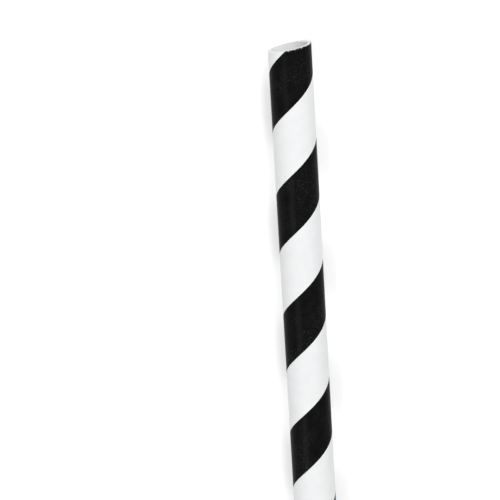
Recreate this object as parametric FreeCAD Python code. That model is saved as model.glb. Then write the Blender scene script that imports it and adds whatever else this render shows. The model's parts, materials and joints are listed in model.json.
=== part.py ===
import FreeCAD, Part
import math
import os

# A paper drinking straw, lying on its side with its mouth towards +X.
# Strips of paper are wound in a spiral and glued into one wall. The outermost strip is printed black
# along one side of its width, so the straw shows one black spiral band and one white one.
# Each shape is made upright, mouth down at the origin, and is laid on its side at the end.

Vector = FreeCAD.Vector

# Driving dimensions, in millimetres and degrees
straw_length = 197.0        # from the far end to the tip of the mouth
outside_diameter = 6.0
plain_plies = 0.36          # thickness of the unprinted strips under the outermost one
printed_ply = 0.12          # thickness of the outermost strip
strip_width = 12.6          # width of the outermost strip, straight across it
black_width = 6.1           # width of its black print, straight across it
seam_gap = 0.1              # left open where one turn's edge meets the next, straight across
first_black_end = 8.3       # end of the first black band, along the top line from the mouth's tip
mouth_slant = 8.0           # how far the mouth is cut away from square

# Radii of the wall
outside_radius = outside_diameter / 2
core_radius = outside_radius - printed_ply
bore_radius = core_radius - plain_plies

# The spiral: a strip that closes on itself once a turn fixes the angle at which it is wound
turn_width = strip_width + seam_gap
winding_angle = math.acos(turn_width / (math.pi * outside_diameter))
lead = turn_width / math.sin(winding_angle)
black_rise = black_width / math.sin(winding_angle)
seam_rise = seam_gap / math.sin(winding_angle)

# Where the black print starts, and the turns that a spiral needs to pass both ends of the straw
black_start = first_black_end - black_rise
turns_before_mouth = math.ceil((first_black_end + seam_rise) / lead)
turns_in_all = turns_before_mouth + math.ceil((straw_length - black_start) / lead)

# A spiral is drawn in short steps, each of them one cubic curve, which keeps every face small and simple
steps_a_turn = 20
full_turn = 2 * math.pi


def mouth_cutter():
    """A block that takes off all that lies before the slanted mouth."""
    side = 2 * outside_diameter
    block = Part.makeBox(side, side, side, Vector(-side / 2, -side / 2, -side))
    block.rotate(Vector(0, -outside_radius, 0), Vector(1, 0, 0), mouth_slant)
    return block


def cut_tube(inner_radius):
    """A tube from the given radius out to the outside of the straw, cut to length at both ends."""
    outside = Part.makeCylinder(outside_radius, straw_length)
    inside = Part.makeCylinder(inner_radius, straw_length)
    return outside.cut(inside).cut(mouth_cutter())


def spiral_point(radius, foot, step):
    """The point that a right-handed spiral reaches after so many steps from its foot."""
    angle = full_turn * step / steps_a_turn
    height = foot + lead * step / steps_a_turn
    return Vector(radius * math.cos(angle), radius * math.sin(angle), height)


def spiral_run(radius, step):
    """The way and distance in which the spiral sets out on the given step."""
    angle = full_turn * step / steps_a_turn
    run = Vector(-radius * full_turn * math.sin(angle), radius * full_turn * math.cos(angle), lead)
    return run / steps_a_turn


def spiral_edge(radius, foot, step):
    """One step of the spiral: a cubic curve that leaves and arrives along the spiral's own direction."""
    begin = spiral_point(radius, foot, step)
    end = spiral_point(radius, foot, step + 1)
    curve = Part.BezierCurve()
    curve.setPoles([begin, begin + spiral_run(radius, step) / 3, end - spiral_run(radius, step + 1) / 3, end])
    return curve.toShape()


def spiral_bar(rise):
    """A right-handed bar as wide as the rise, from the start of the black print, thicker than the ply."""
    start = black_start - turns_before_mouth * lead
    inner = core_radius - printed_ply
    outer = outside_radius + printed_ply
    corners = [(inner, start), (outer, start), (outer, start + rise), (inner, start + rise)]
    steps = turns_in_all * steps_a_turn
    faces = []
    for step in range(steps):
        edges = [spiral_edge(radius, foot, step) for radius, foot in corners]
        for edge, next_edge in zip(edges, edges[1:] + edges[:1]):
            faces.append(Part.makeRuledSurface(edge, next_edge))
    for step in (0, steps):
        rim = [spiral_point(radius, foot, step) for radius, foot in corners]
        faces.append(Part.Face(Part.makePolygon(rim + rim[:1])))
    skin = Part.makeShell(faces)
    skin.sewShape()
    return Part.makeSolid(skin)


def black_stripe():
    """The printed part of the outermost ply: a spiral ribbon let flush into the wall."""
    return cut_tube(core_radius).common(spiral_bar(black_rise))


def paper_tube():
    """The white wall, with its bore, a spiral recess for the print and the open seam beside it."""
    recess = cut_tube(core_radius).common(spiral_bar(black_rise + seam_rise))
    return cut_tube(bore_radius).cut(recess)


def lay_down(shape):
    """Turns the upright shape onto its side, mouth towards +X, resting on the ground at mid length."""
    shape.rotate(Vector(0, 0, 0), Vector(0, 1, 0), -90)
    shape.translate(Vector(straw_length / 2, 0, outside_radius))
    return shape


os.makedirs("parts", exist_ok=True)
for name, make in (("paper_tube", paper_tube), ("black_stripe", black_stripe)):
    lay_down(make()).exportStep(f"parts/{name}.step")
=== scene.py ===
import bmesh
import bpy
import json
import math
import numpy as np
from mathutils import Matrix, Vector, noise


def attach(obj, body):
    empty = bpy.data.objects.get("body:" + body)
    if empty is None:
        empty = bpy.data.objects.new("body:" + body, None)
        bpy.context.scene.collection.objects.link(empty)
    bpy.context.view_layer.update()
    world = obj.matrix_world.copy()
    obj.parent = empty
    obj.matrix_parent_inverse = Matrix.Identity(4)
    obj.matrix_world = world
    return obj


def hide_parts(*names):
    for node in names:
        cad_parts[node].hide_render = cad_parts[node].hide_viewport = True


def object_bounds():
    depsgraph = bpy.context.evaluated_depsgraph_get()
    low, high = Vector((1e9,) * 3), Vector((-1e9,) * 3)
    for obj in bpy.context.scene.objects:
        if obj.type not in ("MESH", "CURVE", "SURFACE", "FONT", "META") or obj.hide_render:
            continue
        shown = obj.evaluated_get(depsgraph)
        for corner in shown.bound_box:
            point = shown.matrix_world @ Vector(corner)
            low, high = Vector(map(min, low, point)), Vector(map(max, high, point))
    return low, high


# A paper drinking straw, lying on a white floor.
# The white wall and the black print are two meshes that stand for the two CAD nodes. Both are wound
# along the spiral, so that the edges of the print and the seam beside it run along rows of faces.
# A third mesh holds the loose fibres at the cut ends.
# A point of the straw is given by its angle, from the top towards +Y, its reach, from the tip of the
# mouth along the straw, and its radius. Sizes are in metres.

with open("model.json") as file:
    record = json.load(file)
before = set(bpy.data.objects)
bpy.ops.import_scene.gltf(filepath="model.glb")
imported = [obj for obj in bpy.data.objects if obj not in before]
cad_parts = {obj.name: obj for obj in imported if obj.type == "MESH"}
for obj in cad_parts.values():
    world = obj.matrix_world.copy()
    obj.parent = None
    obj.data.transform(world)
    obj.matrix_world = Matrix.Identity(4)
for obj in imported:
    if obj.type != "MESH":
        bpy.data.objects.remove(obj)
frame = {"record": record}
cad_low, cad_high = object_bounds()
mm = 0.001
full_turn = 2 * math.pi
half_turn = math.pi

# Sizes that the frame gives
mount_sizes = {mount["name"]: mount["dims"] for mount in frame["record"]["mounts"]}
outside_radius = mount_sizes["barrel"]["r_mm"] * mm
bore_radius = mount_sizes["bore"]["r_mm"] * mm
straw_length = cad_high.x - cad_low.x

# The spiral, wound as the CAD winds it
strip_width = 12.6 * mm         # of the outermost strip, straight across it
black_width = 6.1 * mm          # of its black print, straight across it
seam_gap = 0.1 * mm             # between one turn's edge and the next, straight across
first_black_end = 8.3 * mm      # end of the first black band, along the top line from the mouth's tip
mouth_slant = math.radians(8.0)
turn_width = strip_width + seam_gap
winding_angle = math.acos(turn_width / (full_turn * outside_radius))
lead = turn_width / math.sin(winding_angle)
black_rise = black_width / math.sin(winding_angle)
seam_rise = seam_gap / math.sin(winding_angle)
black_start = first_black_end - black_rise
seam_floor = (black_rise + seam_rise / 3, black_rise + 2 * seam_rise / 3)   # from the start of the black

# The paper's own small forms
ply = 0.12 * mm                 # thickness of one strip
print_depth = 0.02 * mm         # the print stands for this much of the outermost strip
print_overlap = 0.004 * mm      # how far the print goes into the wall below it
print_sink = 0.002 * mm         # how far the print lies below the white beside it
print_ramp = 0.015 * mm         # run over which the white drops to the print
seam_depth = 0.05 * mm
inner_seam_rise = 0.12 * mm
inner_seam_start = 5.0 * mm
waver_least = 0.004 * mm        # how far the surface lies inside the barrel's radius
waver_most = 0.016 * mm
waver_size = 4.0 * mm
edge_waver = 0.012 * mm         # how far the print's edges wander
edge_waver_size = 0.35 * mm
cut_wear = 0.03 * mm            # how rough the cut ends are
coarse_wear_size = 0.3 * mm
fine_wear_size = 0.1 * mm
coarse_wear_share = 0.7         # the fine wear makes up the rest
ply_groove = 0.045 * mm         # depth and half width of the line between two strips at a cut end
ply_line = 0.012 * mm
chip_least = 0.008 * mm         # how far the print stops short of a cut, and its torn ticks
chip_depth = 0.7 * mm
chip_size = 0.11 * mm
chip_threshold = 0.16           # the noise above this level makes a tick
chip_sharpness = 1.5
tip_angle = -full_turn / 4      # the mouth's tip is at the -Y side
tip_length = 0.15 * mm          # the blade left the tip standing this far proud of the cut
tip_spread = math.radians(13)

# Loose fibres at the cut ends
fibre_seed = 5
mouth_fibres = 110
far_fibres = 70
fibre_lengths = (0.1 * mm, 0.32 * mm)
fibre_half_widths = (0.009 * mm, 0.018 * mm)
fibre_stand = 0.07 * mm         # how far the fibres that stand out of the cut go
fibre_steps = 4

# Each noise has its own seed
waver_seed = 3
edge_waver_seed = 7
coarse_wear_seed = 11
fine_wear_seed = 13
chip_seed = 17

# Fineness of the meshes
columns_a_turn = 240
black_rows = 6
white_rows = 6
bore_rows = 7
snap = 0.02 * mm                # points this near a cut end are drawn to it
merge_distance = 0.0001 * mm
sharp_edge = math.radians(28)

# The first and last turn that a winding needs to pass both ends of the straw, and reaches well past both
first_turn = -2
last_turn = math.ceil(straw_length / lead) + 1
before_mouth = -straw_length
past_end = 2 * straw_length


def noise_at(points, size, seed):
    """Smooth noise, about -1 to 1, with features about as large as the size."""
    shift = Vector((seed, -seed, seed))
    flat = points.reshape(-1, 3) / size
    return np.array([noise.noise(Vector(p) + shift) for p in flat]).reshape(points.shape[:-1])


def share_at(points, size, seed):
    """The same noise as a share, about 0 to 1."""
    return noise_at(points, size, seed) / 2 + 0.5


def positions(angle, reach, radius):
    """Places in the frame of points given by angle, reach and radius."""
    x = cad_high.x - reach
    y = radius * np.sin(angle)
    z = outside_radius + radius * np.cos(angle)
    return np.stack(np.broadcast_arrays(x, y, z), axis=-1)


def paper_waver(angle, reach):
    """How far the outermost strip lies inside the barrel's radius."""
    share = share_at(positions(angle, reach, outside_radius), waver_size, waver_seed)
    return waver_least + (waver_most - waver_least) * share


def print_edge_waver(angle, reach):
    """How far the edges of the print and of the strip wander along the straw."""
    return edge_waver * noise_at(positions(angle, reach, outside_radius), edge_waver_size, edge_waver_seed)


def wear_at_cut(angle, radius):
    """How far the paper of a cut end lies behind a clean cut."""
    around = positions(angle, 0.0, radius)
    coarse = share_at(around, coarse_wear_size, coarse_wear_seed)
    fine = share_at(around, fine_wear_size, fine_wear_seed)
    return cut_wear * (coarse_wear_share * coarse + (1 - coarse_wear_share) * fine)


def chips_at_cut(angle):
    """How far the print stops short of a cut: narrow ticks where its paper is torn."""
    ticks = noise_at(positions(angle, 0.0, outside_radius), chip_size, chip_seed)
    return chip_least + chip_depth * np.clip(ticks - chip_threshold, 0, None) ** chip_sharpness


def mouth_reach(angle, radius):
    """Reach of the slanted mouth, with its pointed tip."""
    from_tip = np.mod(angle - tip_angle + half_turn, full_turn) - half_turn
    short_of_tip = tip_length * (1 - np.exp(-(from_tip / tip_spread) ** 2))
    return short_of_tip + (outside_radius + radius * np.sin(angle)) * math.tan(mouth_slant)


def cut_to_length(angle, reach, radius, setback):
    """Draws the points past either end back to the cut, less the setback."""
    mouth = mouth_reach(angle, radius) + setback
    far_end = straw_length - setback
    reach = np.where(reach < mouth + snap, mouth, reach)
    return np.where(reach > far_end - snap, far_end, reach)


def wind(offsets, first, last):
    """Angles and reaches of a wound band: a column for each step round, a row for each offset."""
    steps = round((last - first) * columns_a_turn)
    turn = first + np.arange(steps + 1)[:, None] / columns_a_turn
    angle = full_turn * turn + np.zeros(len(offsets))
    return angle, lead * turn + np.array(offsets)


def paper_map(angle, reach, radius):
    """Where a wound point lies on its flat strip: along it and across it."""
    around = angle * radius
    climb = math.pi / 2 - winding_angle
    along = around * math.cos(climb) + reach * math.sin(climb)
    across = reach * math.cos(climb) - around * math.sin(climb)
    return np.stack(np.broadcast_arrays(along, across), axis=-1)


# The outer profile across one turn, from the start of the black: how far the white lies below the barrel
profile = [
    (0, 0),
    (print_ramp, print_depth),
    (black_rise, print_depth),
    (seam_floor[0], seam_depth),
    (seam_floor[1], seam_depth),
    (black_rise + seam_rise, 0),
    (lead, 0),
]
profile_phase, profile_drop = np.array(profile).T


def outer_surface(angle, reach):
    """Points of the wall's outside."""
    reach = cut_to_length(angle, reach, outside_radius, wear_at_cut(angle, outside_radius))
    phase = reach - lead * angle / full_turn - black_start - print_edge_waver(angle, reach)
    drop = np.interp(np.mod(phase, lead), profile_phase, profile_drop)
    return positions(angle, reach, outside_radius - drop - paper_waver(angle, reach))


def bore_surface(angle, reach):
    """Points of the bore, with the seam of the innermost strip."""
    reach = cut_to_length(angle, reach, bore_radius, wear_at_cut(angle, bore_radius))
    phase = np.mod(reach - lead * angle / full_turn - inner_seam_start, lead)
    middle = inner_seam_rise / 2
    drop = np.interp(phase, [0, middle, inner_seam_rise, lead], [0, seam_depth, 0, 0])
    return positions(angle, reach, bore_radius + drop + paper_waver(angle, reach))


def outer_offsets():
    """Rows across one turn of the wall's outside, from the start of the black."""
    black = np.linspace(print_ramp, black_rise, black_rows + 1)
    white = np.linspace(black_rise + seam_rise, lead, white_rows + 1)
    return black_start + np.concatenate([[0], black, seam_floor, white])


def bore_offsets():
    """Rows across one turn of the bore, from the start of the innermost strip's seam."""
    plain = np.linspace(inner_seam_rise, lead, bore_rows)
    return inner_seam_start + np.concatenate([[0, inner_seam_rise / 2], plain])


def rim_radii():
    """Radii of the rings of a cut end, with the depth of the line between two strips at each."""
    rings = [(outside_radius - ply / 2, 0)]
    plies = round((outside_radius - bore_radius) / ply)
    for number in range(1, plies):
        line = outside_radius - number * ply
        rings += [(line + ply_line, 0), (line, ply_groove), (line - ply_line, 0), (line - ply / 2, 0)]
    return rings


def cut_end(at_mouth):
    """Rings of points across a cut end, from the outside to the bore, with their paper map."""
    angle = full_turn * np.arange(columns_a_turn + 1) / columns_a_turn
    beyond = before_mouth if at_mouth else past_end
    rings = [outer_surface(angle, beyond)]
    for radius, groove in rim_radii():
        depth = wear_at_cut(angle, radius) + groove
        reach = mouth_reach(angle, radius) + depth if at_mouth else straw_length - depth
        rings.append(positions(angle, reach, radius))
    rings.append(bore_surface(angle, beyond))
    spread = np.linspace(0, outside_radius - bore_radius, len(rings))
    around = np.stack(np.broadcast_arrays(angle[:, None] * outside_radius, spread), axis=-1)
    return np.stack(rings, axis=1), around


def add_object(name, data):
    """A new object in the scene, at the origin."""
    made = bpy.data.objects.new(name, data)
    bpy.context.scene.collection.objects.link(made)
    return made


def build_piece(name, grids, material):
    """One mesh from grids of points, each with its paper map and whether its faces are turned over."""
    made = bmesh.new()
    paper = made.loops.layers.uv.new("paper")
    for points, mapped, turned in grids:
        verts = [[made.verts.new(point) for point in column] for column in points]
        columns, rows = mapped.shape[:2]
        for column in range(columns - 1):
            for row in range(rows - 1):
                ring = [(column, row), (column + 1, row), (column + 1, row + 1), (column, row + 1)]
                if turned:
                    ring.reverse()
                face = made.faces.new([verts[i][j] for i, j in ring])
                face.smooth = True
                for loop, (i, j) in zip(face.loops, ring):
                    loop[paper].uv = mapped[i, j]
    bmesh.ops.remove_doubles(made, verts=made.verts, dist=merge_distance)
    bmesh.ops.dissolve_degenerate(made, edges=made.edges, dist=merge_distance)
    mesh = bpy.data.meshes.new(name)
    made.to_mesh(mesh)
    made.free()
    mesh.set_sharp_from_angle(angle=sharp_edge)
    mesh.materials.append(material)
    piece = add_object(name, mesh)
    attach(piece, "root")
    return piece


def straw_wall(material):
    """The white wall: outside, bore and both cut ends, as one closed mesh."""
    outside = wind(outer_offsets(), first_turn, last_turn)
    bore = wind(bore_offsets(), first_turn, last_turn)
    outside_reach = outside[1] + print_edge_waver(*outside)
    mouth, mouth_map = cut_end(True)
    far_end, far_map = cut_end(False)
    grids = [
        (outer_surface(outside[0], outside_reach), paper_map(*outside, outside_radius), False),
        (bore_surface(*bore), paper_map(*bore, bore_radius), True),
        (mouth, mouth_map, True),
        (far_end, far_map, False),
    ]
    piece = build_piece("straw_wall", grids, material)
    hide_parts("paper_tube")


def straw_stripe(material):
    """The black print: a thin closed band wound into the wall's recess."""
    offsets = black_start + np.concatenate([[0], np.linspace(print_ramp, black_rise, black_rows + 1)])
    angle, nominal = wind(offsets, first_turn, last_turn)
    chips = chips_at_cut(angle)
    wandered = nominal + print_edge_waver(angle, nominal)
    reach = cut_to_length(angle, wandered, outside_radius, chips)

    # Only the columns where the whole band has come in at the mouth and hasn't gone out at the far end
    at_mouth = reach[:, -1] <= mouth_reach(angle[:, -1], outside_radius) + chips[:, -1]
    at_far_end = reach[:, 0] >= straw_length - chips[:, 0]
    kept = slice(np.nonzero(at_mouth)[0].max() + 1, np.nonzero(at_far_end)[0].min())
    angle, nominal, reach = angle[kept], nominal[kept], reach[kept]

    top_radius = outside_radius - paper_waver(angle, reach)
    top = positions(angle, reach, top_radius - print_sink)
    bottom = positions(angle, reach, top_radius - print_depth - print_overlap)
    flat = paper_map(angle, nominal, outside_radius)
    around = np.concatenate([top, bottom[:, ::-1], top[:, :1]], axis=1)
    around_map = np.concatenate([flat, flat[:, ::-1], flat[:, :1]], axis=1)
    grids = [(around, around_map, False)]
    for end, turned in ((0, False), (-1, True)):
        cap = np.stack([bottom[end], top[end]])
        grids.append((cap, np.stack([flat[end], flat[end]]), turned))
    piece = build_piece("straw_stripe", grids, material)
    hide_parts("black_stripe")


def strand(path, outward, half_width):
    """Corners and faces of one tapered fibre along a path of points, closed at its root."""
    sides = 4
    corners = []
    for step, point in enumerate(path[:-1]):
        ahead = (path[step + 1] - point).normalized()
        side = ahead.cross(outward).normalized()
        up = side.cross(ahead)
        width = half_width * (1 - step / len(path))
        corners += [point + side * width, point + up * width, point - side * width, point - up * width]
    corners.append(path[-1])
    faces = [tuple(range(sides))]
    for step in range(len(path) - 2):
        for side in range(sides):
            here = step * sides + side
            beside = step * sides + (side + 1) % sides
            faces.append((here, here + sides, beside + sides, beside))
    last = (len(path) - 2) * sides
    faces += [(last + side, len(corners) - 1, last + (side + 1) % sides) for side in range(sides)]
    return corners, faces


def cut_fibres(material):
    """Loose paper fibres at both cut ends: every other one lies over the print, the rest stand out."""
    draw = np.random.RandomState(fibre_seed)
    corners = []
    faces = []
    for at_mouth, count in ((True, mouth_fibres), (False, far_fibres)):
        for number in range(count):
            angle = draw.uniform(0, full_turn)
            length = draw.uniform(*fibre_lengths)
            swing = draw.uniform(-1, 1) * length / outside_radius
            half_width = draw.uniform(*fibre_half_widths)
            lies_on_print = number % 2 == 0
            depth = half_width if lies_on_print else draw.uniform(half_width, outside_radius - bore_radius)
            radius = outside_radius - depth
            cut = float(mouth_reach(angle, radius)) if at_mouth else straw_length
            inward = 1 if at_mouth else -1

            # The path starts just inside the cut and stays within the straw's own length
            margin = 2 * half_width
            path = []
            for step in range(fibre_steps + 1):
                share = step / fibre_steps
                along = length * share if lies_on_print else -fibre_stand * share
                reach = cut + inward * (cut_wear / 2 + along)
                reach = min(max(reach, margin), straw_length - margin)
                bent = angle + swing * share ** 2
                path.append(Vector(positions(bent, reach, radius)))
            outward = Vector((0, math.sin(angle), math.cos(angle)))
            if not lies_on_print:
                outward = Vector((0, math.cos(angle), -math.sin(angle)))
            new_corners, new_faces = strand(path, outward, half_width)
            faces += [tuple(i + len(corners) for i in face) for face in new_faces]
            corners += new_corners
    mesh = bpy.data.meshes.new("cut_fibres")
    mesh.from_pydata(corners, [], faces)
    mesh.materials.append(material)
    piece = add_object("cut_fibres", mesh)
    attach(piece, "root")


# Node helpers

def new_material(name):
    """A material with a Principled shader."""
    material = bpy.data.materials.new(name)
    material.use_nodes = True
    return material, material.node_tree, material.node_tree.nodes["Principled BSDF"]


def strip_noise(tree, along, across, detail):
    """Noise on the flat strip, with features of the given length and width."""
    place = tree.nodes.new("ShaderNodeUVMap")
    place.uv_map = "paper"
    stretch = tree.nodes.new("ShaderNodeMapping")
    stretch.inputs["Scale"].default_value = (1 / along, 1 / across, 1)
    pattern = tree.nodes.new("ShaderNodeTexNoise")
    pattern.inputs["Scale"].default_value = 1
    pattern.inputs["Detail"].default_value = detail
    tree.links.new(place.outputs["UV"], stretch.inputs["Vector"])
    tree.links.new(stretch.outputs["Vector"], pattern.inputs["Vector"])
    return pattern.outputs["Fac"]


def ramp(tree, value, stops):
    """The value turned into colours, each stop being a place and a colour."""
    colours = tree.nodes.new("ShaderNodeValToRGB")
    elements = colours.color_ramp.elements
    for element, (place, colour) in zip(elements, stops, strict=True):
        element.position = place
        element.color = (*colour, 1)
    tree.links.new(value, colours.inputs["Fac"])
    return colours.outputs["Color"]


def blend(tree, first, second, share, mode="MIX"):
    """Two colours blended by a share, which is a number or an output."""
    mix = tree.nodes.new("ShaderNodeMix")
    mix.data_type = "RGBA"
    mix.blend_type = mode
    if isinstance(share, float):
        mix.inputs["Factor"].default_value = share
    else:
        tree.links.new(share, mix.inputs["Factor"])
    tree.links.new(first, mix.inputs["A"])
    tree.links.new(second, mix.inputs["B"])
    return mix.outputs["Result"]


def add_bump(tree, shader, heights):
    """Bumps, each from an output, a strength and a height in metres, one on top of the other."""
    below = None
    for height, strength, distance in heights:
        bump = tree.nodes.new("ShaderNodeBump")
        bump.inputs["Strength"].default_value = strength
        bump.inputs["Distance"].default_value = distance
        tree.links.new(height, bump.inputs["Height"])
        if below is not None:
            tree.links.new(below, bump.inputs["Normal"])
        below = bump.outputs["Normal"]
    tree.links.new(below, shader.inputs["Normal"])


def grey(level):
    """A neutral colour."""
    return (level, level, level)


# What shows on the flat strip: the length, width and detail of its features
paper_cloud = (2.2 * mm, 1.4 * mm, 2)
paper_fibres = (0.9 * mm, 0.07 * mm, 4)
paper_tooth = (0.06 * mm, 0.05 * mm, 3)
print_cloud = (1.6 * mm, 1.1 * mm, 3)
print_patches = (5.0 * mm, 3.5 * mm, 1)
print_specks = (0.35 * mm, 0.16 * mm, 4)
print_fibres = (0.4 * mm, 0.07 * mm, 4)
fibre_height = 0.006 * mm
tooth_height = 0.003 * mm

# Colours of the paper and of the ink, at their darkest and lightest
paper_shade = (0.86, 0.87, 0.875)
paper_light = (0.89, 0.895, 0.9)
ink_shade = grey(0.0035)
ink_light = grey(0.007)
inked_fibre_shade = grey(0.006)
inked_fibre_light = grey(0.06)


def white_paper():
    """Smooth white paper, with faint fibres along the strip."""
    material, tree, shader = new_material("white_paper")
    cloud = strip_noise(tree, *paper_cloud)
    fibres = strip_noise(tree, *paper_fibres)
    tooth = strip_noise(tree, *paper_tooth)
    clouded = ramp(tree, cloud, [(0.3, paper_shade), (0.7, paper_light)])
    fibred = ramp(tree, fibres, [(0.3, grey(0.965)), (0.6, grey(1.0))])
    tree.links.new(blend(tree, clouded, fibred, 1.0, "MULTIPLY"), shader.inputs["Base Color"])
    tree.links.new(ramp(tree, fibres, [(0.2, grey(0.5)), (0.8, grey(0.66))]), shader.inputs["Roughness"])
    shader.inputs["Specular IOR Level"].default_value = 0.35
    add_bump(tree, shader, [(fibres, 0.5, fibre_height), (tooth, 0.4, tooth_height)])
    return material


def black_print():
    """Black ink soaked into the paper: mottled, with patches where fibres show grey."""
    material, tree, shader = new_material("black_print")
    cloud = strip_noise(tree, *print_cloud)
    patches = strip_noise(tree, *print_patches)
    specks = strip_noise(tree, *print_specks)
    fibres = strip_noise(tree, *print_fibres)
    clouded = ramp(tree, cloud, [(0.3, ink_shade), (0.7, ink_light)])
    fibres_show = ramp(tree, patches, [(0.4, grey(0.15)), (0.6, grey(1.0))])
    speck_share = ramp(tree, specks, [(0.5, grey(0)), (0.72, grey(0.8))])
    speck_share = blend(tree, fibres_show, speck_share, 1.0, "MULTIPLY")
    speck_grey = ramp(tree, fibres, [(0.35, inked_fibre_shade), (0.65, inked_fibre_light)])
    tree.links.new(blend(tree, clouded, speck_grey, speck_share), shader.inputs["Base Color"])
    tree.links.new(ramp(tree, fibres, [(0.2, grey(0.26)), (0.8, grey(0.38))]), shader.inputs["Roughness"])
    shader.inputs["IOR"].default_value = 1.08
    add_bump(tree, shader, [(fibres, 0.5, fibre_height), (specks, 0.3, fibre_height)])
    return material


# The stage: floor, light and camera

white_level = 1.0                       # strength of the surroundings where they are seen directly
fill_level = 0.4                        # and where they light the straw
floor_half_side = 3.0
floor_colour = 0.8
floor_glow = 0.4                        # what the floor adds where it is seen directly, to look white

# Each lamp's name, place, size across and power in watts
lamps = [
    ("right_lamp", (0.7, -0.8, 0.7), 0.9, 1.8),
    ("left_lamp", (-0.25, 0.55, 0.8), 0.35, 3.2),
    ("mouth_lamp", (0.75, -0.25, 0.7), 0.3, 5.1),
]


def seen_directly(tree):
    """1 for rays from the camera, a mirror or glass, and 0 for the light that falls on the object."""
    path = tree.nodes.new("ShaderNodeLightPath")
    total = path.outputs["Is Camera Ray"]
    for name in ("Is Glossy Ray", "Is Transmission Ray"):
        add = tree.nodes.new("ShaderNodeMath")
        add.operation = "MAXIMUM"
        tree.links.new(total, add.inputs[0])
        tree.links.new(path.outputs[name], add.inputs[1])
        total = add.outputs[0]
    return total


def scaled(tree, value, factor, offset):
    """The value times a factor, plus an offset."""
    sum_up = tree.nodes.new("ShaderNodeMath")
    sum_up.operation = "MULTIPLY_ADD"
    tree.links.new(value, sum_up.inputs[0])
    sum_up.inputs[1].default_value = factor
    sum_up.inputs[2].default_value = offset
    return sum_up.outputs[0]


def white_floor():
    """A wide white floor that keeps the straw's shadow and otherwise looks pure white."""
    half = floor_half_side
    mesh = bpy.data.meshes.new("floor")
    corners = [(-half, -half, 0), (half, -half, 0), (half, half, 0), (-half, half, 0)]
    mesh.from_pydata(corners, [], [(0, 1, 2, 3)])
    floor = add_object("floor", mesh)
    material, tree, shader = new_material("white_floor")
    shader.inputs["Base Color"].default_value = (*grey(floor_colour), 1)
    shader.inputs["Roughness"].default_value = 0.9
    shader.inputs["Specular IOR Level"].default_value = 0.0
    shader.inputs["Emission Color"].default_value = (*grey(1), 1)
    tree.links.new(scaled(tree, seen_directly(tree), floor_glow, 0), shader.inputs["Emission Strength"])
    mesh.materials.append(material)


def white_world():
    """White all round to look at, and a softer even light on the object."""
    world = bpy.data.worlds.new("studio")
    bpy.context.scene.world = world
    world.use_nodes = True
    tree = world.node_tree
    background = tree.nodes["Background"]
    background.inputs["Color"].default_value = (*grey(1), 1)
    strength = scaled(tree, seen_directly(tree), white_level - fill_level, fill_level)
    tree.links.new(strength, background.inputs["Strength"])


def soft_lamp(name, place, size, power):
    """A square lamp that faces the straw's middle."""
    light = bpy.data.lights.new(name, "AREA")
    light.size = size
    light.energy = power
    lamp = add_object(name, light)
    lamp.location = place
    lamp.rotation_euler = (-Vector(place)).to_track_quat("-Z", "Y").to_euler()
    lamp.visible_camera = False


# Where the photo's camera stands, from how the straw lies in the picture
picture_width = 500                     # pixels
focal_length = 2600                     # pixels
mouth_pixel = (289.5, 46.3)             # the middle of the mouth, from the picture's top left corner
mouth_distance = 353.25 * mm            # of the mouth along the camera's line of sight
view_tilt = math.radians(14.9)          # the far end is further from the camera than the mouth
view_lean = math.radians(3.51)          # the far end is to the right of the mouth in the picture
nearest_seen = 10 * mm


def photo_camera():
    """The camera, placed so that the straw's mouth and axis fall where the photo has them."""
    along = Vector((
        math.sin(view_lean) * math.cos(view_tilt),
        math.cos(view_lean) * math.cos(view_tilt),
        math.sin(view_tilt),
    ))
    sideways = along.cross(Vector((0, 0, 1))).normalized()
    upward = along.cross(sideways)
    to_world = Matrix((-along, -sideways, upward))

    middle = picture_width / 2
    mouth = Vector((mouth_pixel[0] - middle, mouth_pixel[1] - middle, focal_length))
    mouth *= mouth_distance / focal_length
    mouth_middle = Vector((cad_high.x - mouth_reach(0, 0), 0, outside_radius))
    camera = add_object("camera", bpy.data.cameras.new("camera"))
    camera.data.lens = camera.data.sensor_width * focal_length / picture_width
    camera.data.clip_start = nearest_seen
    right, down, forward = (to_world @ Vector(axis) for axis in ((1, 0, 0), (0, 1, 0), (0, 0, 1)))
    turned = Matrix((right, -down, -forward)).transposed()
    camera.matrix_world = Matrix.Translation(mouth_middle - to_world @ mouth) @ turned.to_4x4()
    bpy.context.scene.camera = camera


paper = white_paper()
straw_wall(paper)
straw_stripe(black_print())
cut_fibres(paper)
white_floor()
white_world()
for lamp_values in lamps:
    soft_lamp(*lamp_values)
photo_camera()
bpy.context.scene.view_settings.view_transform = "Standard"
